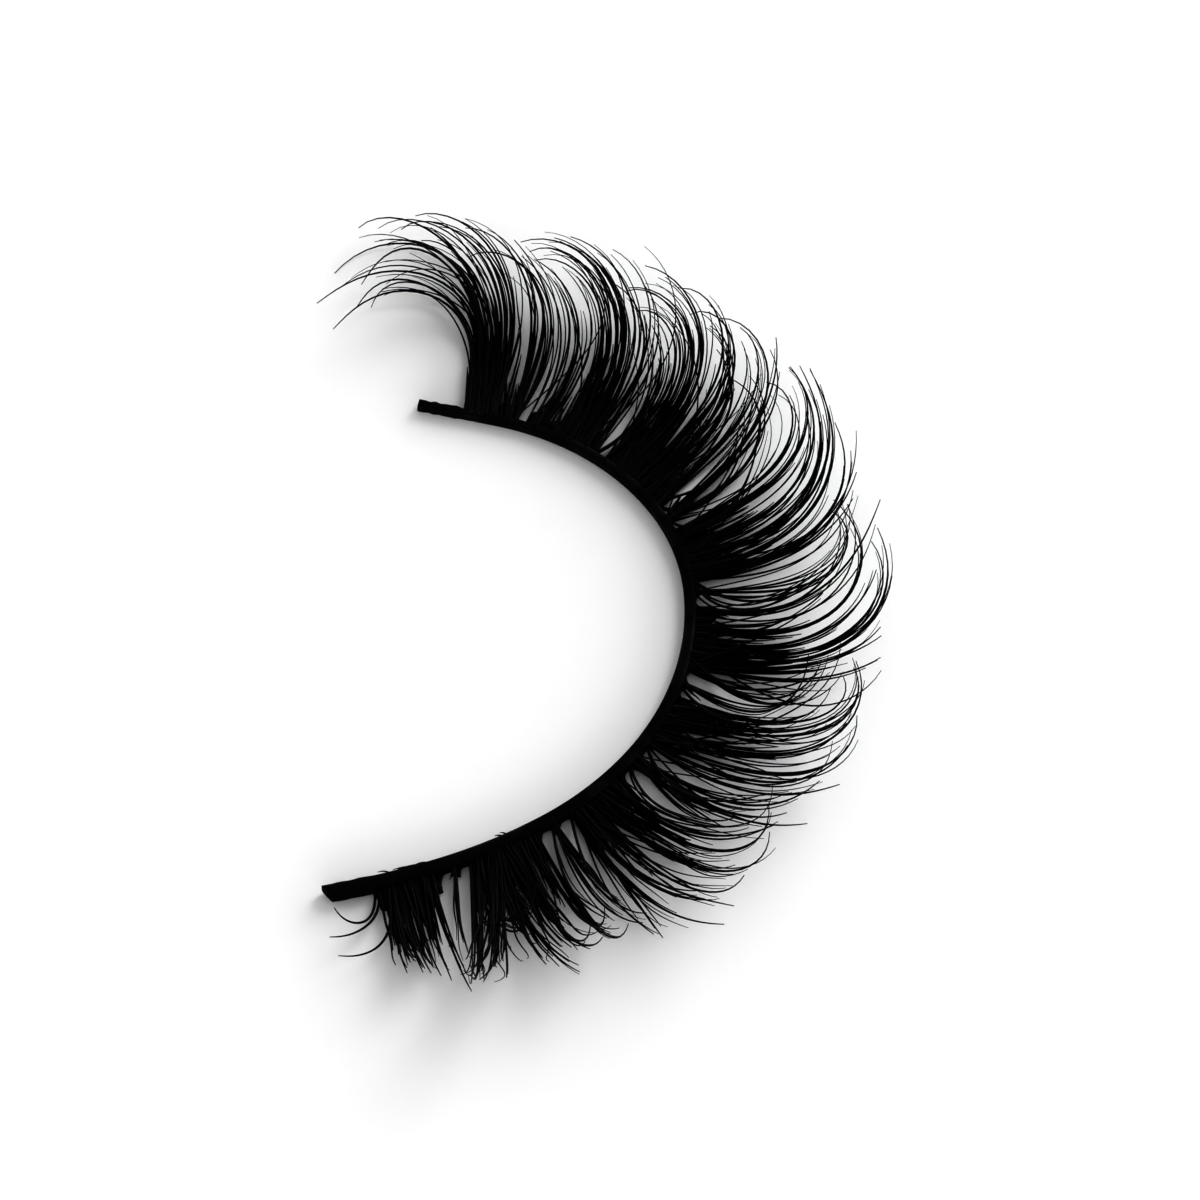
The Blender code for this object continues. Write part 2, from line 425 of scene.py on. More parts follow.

# %% [markdown]
# ## The lock table
#
# On the real strip a worker lays hairs into small locks and knots them to the band side by side.
# Each row below is one lock: the cluster it belongs to, where it leaves the band, how long its
# longest hair is and how that hair runs. Lean is towards the outer corner, and roll tips the curl
# over, from upright at the inner corner to nearly flat at the outer corner. The last column is how
# many short hairs fill its foot, a dozen unless a row says otherwise: a low number is a loose strand
# and none is a single stray hair. The bows are hairs that leave the edge of a cluster askew and swing
# round to join it, which is what leaves the long light slots at the roots. The last three of them end
# in a hook.
#
# Where the values come from: the strands were traced by eye on the photo, and a least-squares fit
# outside this script turned the traces into 102 of these 108 rows, which were then rounded. The other
# six rows, and how many short hairs each lock has, were set one by one.

# %% Lock table
Lock = namedtuple("Lock", "fan run length turn lean roll power ease hairs", defaults=(12,))
LOCKS = [
    Lock(1, 1.8, 10.2, 150, 8, 88, 3.4, 1.9, 4),
    Lock(1, 1.9, 9.7, 161, 9, 67, 3.0, 1.6, 4),
    Lock(1, 2.0, 11.6, 141, 8, 87, 3.3, 1.9, 4),
    Lock(1, 2.2, 11.9, 160, 8, 47, 3.2, 2.0, 4),
    Lock(1, 2.3, 12.6, 146, 11, 91, 3.5, 1.4, 4),
    Lock(1, 2.4, 11.8, 150, 9, 67, 2.4, 1.0),
    Lock(1, 2.5, 8.8, 123, 7, 57, 2.8, 1.0),
    Lock(1, 2.7, 10.9, 154, 6, 68, 2.9, 1.0),
    Lock(1, 2.8, 10.8, 138, 3, 64, 2.6, 1.0),
    Lock(1, 3.5, 9.5, 123, 4, 56, 2.9, 1.0),
    Lock(1, 3.6, 9.5, 151, 1, 77, 3.1, 1.0),
    Lock(1, 3.7, 8.2, 75, -6, 66, 2.0, 1.2),
    Lock(2, 4.5, 7.9, 106, -7, 63, 2.0, 1.0),
    Lock(2, 5.4, 9.4, 143, 4, 66, 2.8, 1.0),
    Lock(2, 5.8, 10.4, 154, 6, 62, 2.5, 1.0),
    Lock(2, 5.9, 11.1, 148, 3, 63, 2.3, 1.1),
    Lock(2, 6.0, 9.9, 123, -1, 62, 1.9, 1.0),
    Lock(2, 6.3, 10.0, 122, 0, 62, 2.0, 1.0),
    Lock(2, 6.7, 8.1, 118, 6, 56, 3.1, 1.0),
    Lock(3, 7.3, 6.2, 71, 1, 60, 2.2, 1.0),
    Lock(3, 7.7, 7.9, 149, 7, 52, 3.4, 1.0),
    Lock(3, 8.0, 9.5, 155, 8, 60, 2.8, 1.0),
    Lock(3, 8.2, 9.8, 144, 7, 63, 2.8, 1.1),
    Lock(3, 8.4, 10.3, 131, 7, 58, 2.2, 1.0),
    Lock(3, 8.8, 9.8, 146, 10, 50, 3.2, 1.0),
    Lock(3, 9.2, 9.6, 171, 10, 49, 3.4, 1.0),
    Lock(3, 9.6, 8.2, 112, 12, 52, 3.0, 1.0),
    Lock(3, 10.0, 7.4, 96, 14, 52, 2.8, 1.0),
    Lock(4, 10.3, 8.9, 116, 18, 45, 3.8, 1.0, 3),
    Lock(4, 10.6, 10.5, 148, 16, 60, 3.1, 1.0, 3),
    Lock(4, 10.9, 8.8, 59, 19, 52, 2.4, 1.0, 3),
    Lock(4, 10.8, 7.7, 134, 5, 56, 3.0, 1.2, 4),
    Lock(4, 11.4, 8.4, 147, 10, 50, 3.4, 1.0),
    Lock(4, 11.8, 9.1, 116, 10, 52, 2.7, 1.0),
    Lock(4, 12.4, 9.6, 108, 10, 52, 2.8, 1.4),
    Lock(4, 12.7, 10.0, 104, 2, 50, 2.4, 1.6),
    Lock(4, 13.2, 10.5, 108, 4, 49, 2.1, 1.5),
    Lock(4, 13.4, 9.1, 106, 4, 48, 2.6, 1.3),
    Lock(4, 13.8, 7.6, 64, 6, 47, 1.9, 1.1, 5),
    Lock(5, 14.2, 7.9, 165, -6, 40, 3.2, 1.0, 2),
    Lock(5, 14.8, 8.7, 78, -11, 44, 1.9, 1.7),
    Lock(5, 15.7, 10.0, 143, -4, 40, 2.4, 1.3),
    Lock(5, 16.2, 7.9, 81, -5, 42, 1.8, 1.1),
    Lock(5, 16.5, 9.8, 136, -2, 40, 2.2, 1.0),
    Lock(5, 16.8, 10.7, 121, 1, 39, 2.4, 1.3),
    Lock(5, 17.3, 7.5, 57, 8, 37, 2.4, 1.0),
    Lock(5, 17.6, 7.3, 42, 12, 37, 2.2, 1.0, 6),
    Lock(5, 17.5, 7.3, 44, 3, 36, 2.3, 1.0),
    Lock(6, 17.9, 6.7, 104, -20, 32, 2.6, 1.5, 2),
    Lock(6, 19.2, 7.8, 120, 11, 18, 3.5, 1.0),
    Lock(6, 19.8, 9.1, 127, 14, 24, 3.0, 1.0),
    Lock(6, 20.3, 10.2, 127, 10, 30, 2.2, 1.0),
    Lock(6, 20.7, 9.3, 106, 9, 27, 2.6, 1.0),
    Lock(6, 21.0, 8.5, 80, 5, 29, 2.1, 1.0),
    Lock(6, 21.2, 8.3, 49, -2, 31, 1.8, 1.4),
    Lock(6, 21.3, 8.1, 66, -5, 30, 2.2, 1.3),
    Lock(7, 21.6, 6.8, 53, -6, 30, 1.9, 1.0, 3),
    Lock(7, 22.1, 7.6, 40, 2, 30, 1.8, 1.2, 3),
    Lock(7, 22.9, 7.7, 56, -6, 31, 1.5, 1.3),
    Lock(7, 23.6, 8.7, 116, 8, 23, 2.6, 1.0),
    Lock(7, 24.0, 9.3, 106, 7, 20, 2.7, 1.0),
    Lock(7, 24.3, 8.7, 82, 1, 23, 2.5, 1.0),
    Lock(7, 24.5, 8.7, 40, -10, 31, 1.5, 2.0),
    Lock(7, 24.7, 7.5, 47, -5, 28, 1.8, 1.2),
    Lock(7, 24.9, 8.8, 46, -6, 28, 1.9, 1.3),
    Lock(7, 24.8, 6.1, 0, -6, 28, 2.0, 1.2),
    Lock(7, 25.3, 6.2, 20, -5, 26, 2.1, 1.0, 5),
    Lock(8, 25.8, 6.2, 52, -4, 25, 2.2, 1.0, 4),
    Lock(8, 26.2, 7.8, 94, -7, 12, 2.7, 1.0, 20),
    Lock(8, 26.6, 7.2, 113, -4, 5, 2.7, 1.0, 20),
    Lock(8, 27.2, 8.0, 95, -6, 8, 2.2, 1.0, 20),
    Lock(8, 27.5, 7.6, 81, -2, 14, 2.5, 1.0, 20),
    Lock(8, 27.8, 7.4, 41, -9, 24, 1.9, 1.4, 20),
    Lock(8, 27.8, 5.2, 69, -17, 16, 2.3, 1.0, 20),
    Lock(8, 27.7, 8.7, 78, -27, -2, 2.0, 1.2, 20),
    Lock(8, 28.1, 9.8, 56, -20, -12, 1.6, 1.9, 8),
    Lock(8, 28.6, 9.3, 69, -20, -7, 1.9, 1.3, 3),
    Lock(8, 29.1, 9.0, 80, -15, -8, 2.0, 1.3, 3),
    Lock(8, 29.4, 4.2, 35, -18, 15, 2.0, 1.0, 2),
    Lock(9, 30.4, 5.7, 23, -5, 16, 1.9, 1.2, 5),
    Lock(9, 30.6, 4.8, 21, -8, 15, 2.0, 1.2, 8),
    Lock(9, 31.0, 5.0, 29, -8, 14, 1.9, 1.3, 18),
    Lock(9, 31.4, 5.0, 34, -6, 14, 1.9, 1.4, 18),
    Lock(9, 31.7, 4.6, 45, -8, 14, 1.9, 1.3, 18),
    Lock(9, 31.9, 4.5, 30, -8, 13, 1.9, 1.3, 18),
    Lock(9, 32.0, 4.3, 103, -1, -74, 2.0, 1.3, 0),
    Lock(9, 32.2, 3.4, 87, -5, -76, 1.6, 1.5, 0),
    Lock(9, 32.3, 3.1, 150, -13, -61, 2.5, 1.3, 0),
]
BOWS = [
    Lock(3, 6.9, 5.4, 63, -22, 71, 1.3, 1.6),
    Lock(3, 7.5, 4.8, 43, -9, 70, 1.1, 1.5),
    Lock(4, 9.9, 5.8, 78, -27, 65, 1.4, 1.4),
    Lock(4, 10.1, 5.3, 95, -55, 60, 1.3, 2.1),
    Lock(4, 10.8, 6.2, 132, -83, 57, 0.9, 1.8),
    Lock(5, 13.8, 5.8, 78, -44, 59, 1.3, 1.2),
    Lock(5, 13.8, 6.0, 84, -70, 57, 1.2, 1.9),
    Lock(6, 17.0, 6.5, 106, -37, 43, 1.9, 1.0),
    Lock(6, 17.7, 5.5, 59, -19, 48, 1.1, 1.0),
    Lock(6, 18.2, 6.3, 65, -44, 51, 1.1, 1.6),
    Lock(7, 21.0, 7.0, 68, -42, 46, 1.2, 1.6),
    Lock(7, 21.5, 4.7, 21, -19, 41, 1.4, 1.3),
    Lock(7, 21.9, 6.6, 58, -48, 49, 0.8, 2.1),
    Lock(7, 21.6, 5.6, 63, -22, 34, 1.9, 1.0),
    Lock(8, 24.8, 5.5, 43, -30, 36, 1.5, 1.3),
    Lock(8, 25.5, 6.7, 53, -15, 31, 1.7, 1.0),
    Lock(8, 25.6, 6.1, 47, -28, 37, 1.6, 1.5),
    Lock(8, 28.7, 5.4, 230, -8, 40, 4.0, 1.0),
    Lock(8, 29.1, 4.8, 210, -12, 30, 3.6, 1.0),
    Lock(8, 28.2, 5.6, 190, -22, 40, 2.6, 1.0),
]
print(len(LOCKS), "locks and", len(BOWS), "bows")

# %% [markdown]
# ## From a lock to its hairs
#
# The leader of a lock follows its row, and every other hair is cut off at a share of its length.
# Companions run so close beside the leader that they read as one bold strand, and stop sooner, so that
# the strand ends in single hairs. Crossing hairs are thin and unruly, and lean over their neighbours.
# Others run between two locks, and as stragglers between two clusters. A bow has two thinner hairs
# beside it. Short thick hairs fill the foot of a lock, which is solid black on the real strip, further
# up in the middle of a cluster than at its edges. Beside a bare gap of the band they are few and lean
# away from it, and no hair is rooted in a gap.
#
# A kind of hair is five values: the shares at which it is cut off, how far its root and its lean
# stray, its width next to the leader's, and how loosely it keeps to the rule. A habit says how many
# hairs of each kind the locks of a cluster have, and how far up the cluster is solid.

# %% Hairs with their attributes
HAIR_RADIUS = 0.056 * MM
LEADER_LOOSE = 0.3
Kind = namedtuple("Kind", "shares root_spread lean_spread widths loose")
COMPANION = Kind((0.55, 0.98), 0.07, 0.8, (0.60, 0.95), 0.5)
CROSSING = Kind((0.60, 0.97), 0.07, 0.0, (0.45, 0.75), 1.4)
BETWEEN = Kind((0.62, 1.00), 0.08, 2.0, (0.50, 0.85), 1.0)
BESIDE_BOW = Kind((0.75, 1.00), 0.04, 2.5, (0.50, 0.75), 0.4)
# The foot's second share is set lock by lock, from how far up the cluster is solid there
FOOT = Kind((0.16, 0.16), 0.16, 3.0, (0.80, 1.10), 0.8)
Habit = namedtuple("Habit", "companions crossing between stragglers solid_middle solid_edge")
HABITS = {
    1: Habit(2, 1, 2, 7, 0.40, 0.24),
    2: Habit(2, 1, 4, 5, 0.44, 0.26),
    3: Habit(2, 1, 4, 2, 0.46, 0.26),
    4: Habit(2, 2, 2, 3, 0.48, 0.26),
    5: Habit(2, 2, 2, 3, 0.46, 0.26),
    6: Habit(2, 2, 3, 3, 0.48, 0.28),
    7: Habit(2, 2, 2, 3, 0.58, 0.30),
    8: Habit(3, 1, 2, 2, 0.84, 0.42),
    9: Habit(3, 0, 3, 0, 0.92, 0.84),
}
# A lock with no more short hairs than this is a loose strand, with one companion
SPARSE = 5

# How far the turn strays as a share, and the roll, lift and crossing lean in degrees
TURN_SPREAD = 0.05
ROLL_SPREAD = 3.0
LIFT_SPREAD = 2.0
CROSSING_SPREAD = 13.0
SWAY_SPREAD = 0.06
WAVE_SPREAD = 0.13

# After this many millimetres a hair is back at its lock, from a root beside it
GATHER_LENGTH = 7.0
ROOT_ASIDE = (0.02 * MM, 0.14 * MM)
ROOT_HEIGHTS = (0.14 * MM, 0.36 * MM)

# The bare ends of the band, as runs in millimetres; near the outer one no hair crosses over it
FIRST_ROOT = 1.74
LAST_ROOT = 32.35
BARE_SIDE = 0.9
BARE_SIDE_LEAN = 0.6

# The bare gaps between, how far they are felt, and how they thin and tilt the feet beside them
GAPS = [
    (3.72, 3.98), (6.93, 7.30), (10.22, 10.68), (10.98, 11.36), (13.70, 14.02), (14.22, 14.78),
    (17.46, 18.02), (18.22, 18.66), (20.98, 21.52), (22.00, 22.56), (24.90, 25.52), (25.70, 26.28),
    (28.92, 29.34), (29.50, 30.04),
]
GAP_MARGIN = 0.06
GAP_RESPECT = 0.6
GAP_LEAN = 12.0
GAP_LOWER = 0.6
GAP_THINNER = 0.7
GAP_CALM = 0.8

# The glued feet, in millimetres
KNOT_CURL = {"turn": 8, "power": 1.5, "ease": 1.0}
KNOT_SPREAD = 0.22
KNOT_LENGTHS = (0.5, 1.2)
KNOT_RADII = (0.065, 0.095)
KNOTS = 5
FULL_FOOT = 6


def hair_at(root, lock, radius, loose, dice, cut=1.0):
    """One hair, as a dictionary of its attributes.

    Its root sits at one run, and its directions are those of the band at its lock's run. The looser it
    is, the more it strays from its rule.
    """
    lean = math.radians(lock.lean)
    roll = math.radians(lock.roll)
    point, _, outward = band_frame(root * MM)
    _, along, away = band_frame(lock.run * MM)
    sideways = -away * math.sin(lean) - along * math.cos(lean)
    return {
        "root": point + outward * dice.uniform(*ROOT_ASIDE) + UP * dice.uniform(*ROOT_HEIGHTS),
        "ahead": away * math.cos(lean) - along * math.sin(lean),
        "curl": UP * math.cos(roll) + sideways * math.sin(roll),
        "side": sideways * math.cos(roll) - UP * math.sin(roll),
        "length": lock.length * cut * MM,
        "cut": cut,
        "turn": math.radians(lock.turn),
        "power": lock.power,
        "ease": lock.ease,
        "lift": math.radians(dice.gauss(0, LIFT_SPREAD)) * loose,
        "sway": dice.gauss(0, SWAY_SPREAD) * loose,
        "wave": dice.gauss(0, WAVE_SPREAD) * loose,
        "phase": dice.uniform(0, math.tau),
        "thickness": radius,
        "shade": dice.random(),
    }


def out_of_gaps(run, home):
    """Keeps a root out of the bare gaps of the band, on the side that its lock is on."""
    for low, high in GAPS:
        if low - GAP_MARGIN < run < high + GAP_MARGIN:
            return low - GAP_MARGIN if home < (low + high) / 2 else high + GAP_MARGIN
    return min(max(run, FIRST_ROOT), LAST_ROOT)


def off_gaps(run):
    """How many degrees the short hairs in or beside a bare gap lean away from its middle."""
    for low, high in GAPS:
        if low < run < high:
            return GAP_LEAN if run < (low + high) / 2 else -GAP_LEAN
        if low - GAP_RESPECT < run <= low:
            return GAP_LEAN * (1 - (low - run) / GAP_RESPECT)
        if high <= run < high + GAP_RESPECT:
            return -GAP_LEAN * (1 - (run - high) / GAP_RESPECT)
    return 0


def gathered(lock, root):
    """The lean that brings a hair from a root beside its lock back to it."""
    return lock.lean + math.degrees((root - lock.run) / GATHER_LENGTH)


def leader(lock, dice):
    """The hair that follows a lock's row; it is rooted beside a bare gap, never in it."""
    root = out_of_gaps(lock.run, lock.run)
    return hair_at(root, lock._replace(lean=gathered(lock, root)), HAIR_RADIUS, LEADER_LOOSE, dice)


def follower(lock, kind, dice):
    """A hair of one kind beside the leader, cut off at a share of its length."""
    share = dice.uniform(*kind.shares)
    width = dice.uniform(*kind.widths)
    root = out_of_gaps(lock.run + dice.gauss(0, kind.root_spread), lock.run)
    stray = lock._replace(
        turn=lock.turn * dice.gauss(1, TURN_SPREAD),
        lean=gathered(lock, root) + dice.gauss(0, kind.lean_spread),
        roll=lock.roll + dice.gauss(0, ROLL_SPREAD) * kind.loose,
    )
    return hair_at(root, stray, HAIR_RADIUS * width, kind.loose, dice, share)


def crossing_hair(lock, dice):
    """A thin hair that leans across its neighbours, but never over a bare end of the band."""
    lean = dice.gauss(0, CROSSING_SPREAD)
    if lock.run < FIRST_ROOT + BARE_SIDE:
        lean = -abs(lean) * BARE_SIDE_LEAN
    return follower(lock._replace(lean=lock.lean + lean), CROSSING, dice)


def fan_hairs(locks, dice):
    """The hairs that belong to the locks of one cluster."""
    habit = HABITS[locks[0].fan]
    first = locks[0].run
    last = locks[-1].run
    hairs = []
    for lock in locks:
        hairs.append(leader(lock, dice))
        if not lock.hairs:
            continue
        off = off_gaps(lock.run)
        nearness = abs(off) / GAP_LEAN
        across = 2 * (lock.run - first) / (last - first) - 1
        solid = habit.solid_edge + (habit.solid_middle - habit.solid_edge) * (1 - across ** 2)
        for _ in range(habit.companions if lock.hairs > SPARSE else 1):
            hairs.append(follower(lock, COMPANION, dice))
        for _ in range(habit.crossing if nearness < GAP_CALM else 1):
            hairs.append(crossing_hair(lock, dice))
        shortest = FOOT.shares[0]
        highest = max(solid * (1 - GAP_LOWER * nearness), shortest)
        fill = FOOT._replace(shares=(shortest, highest))
        for _ in range(round(lock.hairs * (1 - GAP_THINNER * nearness))):
            hairs.append(follower(lock._replace(lean=lock.lean + off), fill, dice))
    return hairs


def between_hairs(first, second, dice):
    """Thin hairs whose rows are blended between two locks, or between two clusters."""
    habit = HABITS[first.fan]
    count = habit.between if first.fan == second.fan else habit.stragglers
    hairs = []
    for _ in range(count):
        share = dice.random()
        row = Lock(*[a + (b - a) * share for a, b in zip(first, second)])
        hairs.append(follower(row, BETWEEN, dice))
    return hairs


def bow_hairs(bow, dice):
    """A bow and two thinner ones that keep close to it."""
    return [leader(bow, dice), follower(bow, BESIDE_BOW, dice), follower(bow, BESIDE_BOW, dice)]


def lock_knots(lock, dice):
    """The glued foot of a lock: a few short thick strands that end in a point."""
    off = off_gaps(lock.run)
    full = lock.hairs > FULL_FOOT and abs(off) < GAP_LEAN / 2
    foot = lock._replace(lean=lock.lean + off, **KNOT_CURL)
    knots = []
    for _ in range(KNOTS if full else 1):
        root = out_of_gaps(lock.run + dice.gauss(0, KNOT_SPREAD), lock.run)
        length = dice.uniform(*KNOT_LENGTHS)
        radius = dice.uniform(*KNOT_RADII) * MM
        knots.append(hair_at(root, foot._replace(length=length), radius, 1.0, dice))
    return knots


def root_cloud(name, hairs):
    """An object of bare points, one for each hair, that carries the hairs' attributes."""
    mesh = bpy.data.meshes.new(name)
    mesh.from_pydata([hair["root"] for hair in hairs], [], [])
    for key in hairs[0]:
        values = [hair[key] for hair in hairs]
        if isinstance(values[0], Vector):
            flat = [part for value in values for part in value]
            mesh.attributes.new(key, "FLOAT_VECTOR", "POINT").data.foreach_set("vector", flat)
        else:
            mesh.attributes.new(key, "FLOAT", "POINT").data.foreach_set("value", values)
    mesh.attributes.new("hair", "INT", "POINT").data.foreach_set("value", list(range(len(hairs))))
    made = bpy.data.objects.new(name, mesh)
    bpy.context.collection.objects.link(made)
    return made


KEPT_OUT = (
    "root", "ahead", "curl", "side", "length", "cut", "turn", "power", "ease", "lift", "sway", "wave",
    "phase", "thickness", "hair",
)


def run_tree(source, tree, ids, values):
    """Gives the object a tree, keeps what the tree makes as a plain mesh, and removes the modifier."""
    modifier = source.modifiers.new(tree.name, "NODES")
    modifier.node_group = tree
    for label, value in values.items():
        modifier[ids[label]] = value
    seen = source.evaluated_get(bpy.context.evaluated_depsgraph_get())
    plain = bpy.data.meshes.new_from_object(seen)
    source.modifiers.remove(modifier)
    for spare in [a.name for a in plain.attributes if a.name in KEPT_OUT]:
        plain.attributes.remove(plain.attributes[spare])
    source.data = plain
    return source


HAIR_SIZES = {
    "Points per hair": 25,
    "Sides": 5,
    "Tip taper": 2.4,
    "Table clearance": 0.045 * MM,
}


def hair_piece(name, hairs):
    """Grows the hairs of one piece and attaches it to the root body."""
    grown = run_tree(root_cloud(name, hairs), hair_maker, hair_inputs, dict(HAIR_SIZES, Fibre=fibre))
    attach(grown, "root")
    print(name, len(hairs), "hairs,", len(grown.data.polygons), "faces")
    return grown


# %% [markdown]
# ## Nine clusters
#
# Each cluster is one piece that stands for one fan of the frame, with a seed of its own. Its hairs go
# from lock to lock, and over to the first lock of the next cluster. The single stray hairs have no
# foot, so nothing is blended with them. The glued feet of all the locks are one more piece.

# %% Grow the lashes
SEED = 100
knots = []
rooted = [lock for lock in LOCKS if lock.hairs]
for fan in HABITS:
    dice = random.Random(SEED + fan)
    locks = [lock for lock in LOCKS if lock.fan == fan]
    bows = [hair for bow in BOWS if bow.fan == fan for hair in bow_hairs(bow, dice)]
    pairs = [(first, second) for first, second in zip(rooted, rooted[1:]) if first.fan == fan]
    between = [hair for first, second in pairs for hair in between_hairs(first, second, dice)]
    grown = hair_piece(f"lash_hair_{fan}", fan_hairs(locks, dice) + between + bows)
    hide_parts(f"lash_fan_{fan}")
    knots += [hair for lock in locks if lock.hairs for hair in lock_knots(lock, dice)]
hair_piece("glued_roots", knots)

# %% [markdown]
# ## The glue between the roots
#
# Glue creeps between the feet of the hairs and dries into a thin ribbed web along the band. It is
# what closes the clusters at their roots, and where no lock sits it stops in a rounded notch. The web
# is swept in code: a small five-point section follows the band, and its reach is a rule, with a
# quarter-round fillet where the lashes begin and end.

# %% Glue web
WEB_STEP = 0.025
WEB_REACHES = (0.50, 0.80)
NOTCH_FLOOR = 0.02
NOTCH_SPREAD = 0.10
FILLET = 0.34
WEB_RIPPLES = [(0.07, 5.1, 0), (0.05, 13.7, 1)]
WEB_OVERLAP = 0.06
WEB_BOTTOM = 0.08
WEB_THICKNESS = 0.26
WEB_EDGE = 0.12
WEB_LIP = 0.04
RIB = 0.035
RIB_PITCH = 0.14
RIB_DRIFT = (2, 1.9)


def web_reach(run):
    """How far the glue reaches beyond the band's outer side, all in millimetres."""
    if run < FIRST_ROOT:
        return FILLET - math.sqrt(max(FILLET ** 2 - (run - FIRST_ROOT + FILLET) ** 2, 0))
    if run > LAST_ROOT:
        return FILLET - math.sqrt(max(FILLET ** 2 - (LAST_ROOT + FILLET - run) ** 2, 0))
    share = run * MM / BAND_RUN
    reach = WEB_REACHES[0] + (WEB_REACHES[1] - WEB_REACHES[0]) * share
    reach += sum(size * math.sin(run * pace + start) for size, pace, start in WEB_RIPPLES)
    for low, high in GAPS:
        aside = abs(run - (low + high) / 2) / ((high - low) / 2 + NOTCH_SPREAD)
        if aside < 1:
            reach = NOTCH_FLOOR + (reach - NOTCH_FLOOR) * (1 - math.sqrt(1 - aside ** 2))
    return reach


def web_section(run):
    """The web's outline at a run, as world points round its section."""
    point, _, outward = band_frame(run * MM)
    inner = band_size(run * MM)[0] / 2 / MM - WEB_OVERLAP
    outer = inner + WEB_OVERLAP + web_reach(run)
    drift, pace = RIB_DRIFT
    rib = RIB * math.sin(run * math.tau / RIB_PITCH + drift * math.sin(run * pace))
    outline = [
        (inner, WEB_BOTTOM),
        (outer - WEB_EDGE / 2, WEB_BOTTOM + WEB_LIP),
        (outer, WEB_BOTTOM + WEB_LIP + WEB_EDGE / 2),
        (outer - WEB_EDGE / 2, WEB_BOTTOM + WEB_LIP + WEB_EDGE + rib),
        (inner, WEB_BOTTOM + WEB_THICKNESS + rib),
    ]
    return [point + outward * aside * MM + UP * height * MM for aside, height in outline]


def swept(name, sections, look):
    """A closed mesh through a row of sections that all have the same number of points."""
    count = len(sections[0])
    faces = [tuple(reversed(range(count))), tuple(range((len(sections) - 1) * count, len(sections) * count))]
    for row in range(len(sections) - 1):
        for corner in range(count):
            following = (corner + 1) % count
            faces.append((row * count + corner, row * count + following,
                          (row + 1) * count + following, (row + 1) * count + corner))
    mesh = bpy.data.meshes.new(name)
    mesh.from_pydata([point for section in sections for point in section], [], faces)
    bm = bmesh.new()
    bm.from_mesh(mesh)
    bmesh.ops.recalc_face_normals(bm, faces=bm.faces)
    bm.to_mesh(mesh)
    bm.free()
    mesh.shade_smooth()
    mesh.materials.append(look)
    made = bpy.data.objects.new(name, mesh)
    bpy.context.collection.objects.link(made)
    return made


web_start = FIRST_ROOT - FILLET
web_steps = round((LAST_ROOT + FILLET - web_start) / WEB_STEP)
web_runs = [web_start + WEB_STEP * step for step in range(web_steps + 1)]
web = swept("root_glue", [web_section(run) for run in web_runs], fibre)
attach(web, "root")
print("glue web:", len(web.data.polygons), "faces")

# %% [markdown]
# ## The band's core
#
# The band is a flat cotton core with a fine thread wound round it. The core has the CAD band's section,
# is cut off square at the outer corner and is snipped at a slant at the inner corner. Dried glue has
# left small lumps on its bare ends. It lies on the table on the hundredth of a millimetre that the
# thread stands proud.

# %% Core
CORE_STEPS = 170
CORE_CORNERS = 20
SQUARENESS = 5.0
THREAD_RADIUS = 0.024 * MM
THREAD_PROUD = 0.4
END_SLANT = 0.30 * MM
Lump = namedtuple("Lump", "run_mm spread_mm growth")
LUMPS = [
    Lump(0.10, 0.13, 0.30),
    Lump(0.62, 0.12, 0.26),
    Lump(0.98, 0.10, 0.14),
    Lump(1.32, 0.14, 0.30),
    Lump(32.75, 0.25, 0.10),
    Lump(33.50, 0.20, 0.08),
]


def round_square(angle):
    """How far the rim of a rounded square lies from its middle at an angle; 1 at its sides."""
    return (abs(math.cos(angle)) ** SQUARENESS + abs(math.sin(angle)) ** SQUARENESS) ** (-1 / SQUARENESS)


def core_section(step):
    """The core's outline at one step along the band."""
    run = BAND_RUN * step / CORE_STEPS
    point, along, outward = band_frame(run)
    width, height = band_size(run)
    lump = 1 + sum(row.growth * math.exp(-((run / MM - row.run_mm) / row.spread_mm) ** 2) for row in LUMPS)
    slant = END_SLANT if step == CORE_STEPS else 0
    outline = []
    for corner in range(CORE_CORNERS):
        angle = math.tau * corner / CORE_CORNERS
        reach = round_square(angle)
        aside = width / 2 * reach * math.cos(angle) * lump
        rise = height / 2 * reach * math.sin(angle)
        rise *= lump if rise > 0 else 1
        middle = height / 2 + THREAD_RADIUS * THREAD_PROUD
        outline.append(point + outward * aside + UP * (middle + rise) - along * slant * aside / width)
    return outline


core = swept("band_core", [core_section(step) for step in range(CORE_STEPS + 1)], cotton)
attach(core, "root")
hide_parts("band")
print("core:", len(core.data.polygons), "faces")

# %% [markdown]
# ## The winding
#
# The thread runs round the core three hundred times. That is one path, so the tree makes it from a
# straight line of points: each point looks up its place on the band's middle line with Sample Curve,
# turns round it by its share of all the turns, and is pushed out to the rim of a rounded square.

# %% Winding
THREAD_PITCH = 0.105 * MM
THREAD_SIDES = 5
BARE_END = 0.26 * MM
LINE_STEPS = 340
WINDING_INPUTS = {
    "Turns": "NodeSocketFloat",
    "Points per turn": "NodeSocketInt",
    "Thread radius": "NodeSocketFloat",
    "Width at the start": "NodeSocketFloat",
    "Width at the end": "NodeSocketFloat",
    "Height at the start": "NodeSocketFloat",
    "Height at the end": "NodeSocketFloat",
    "Thread": "NodeSocketMaterial",
}


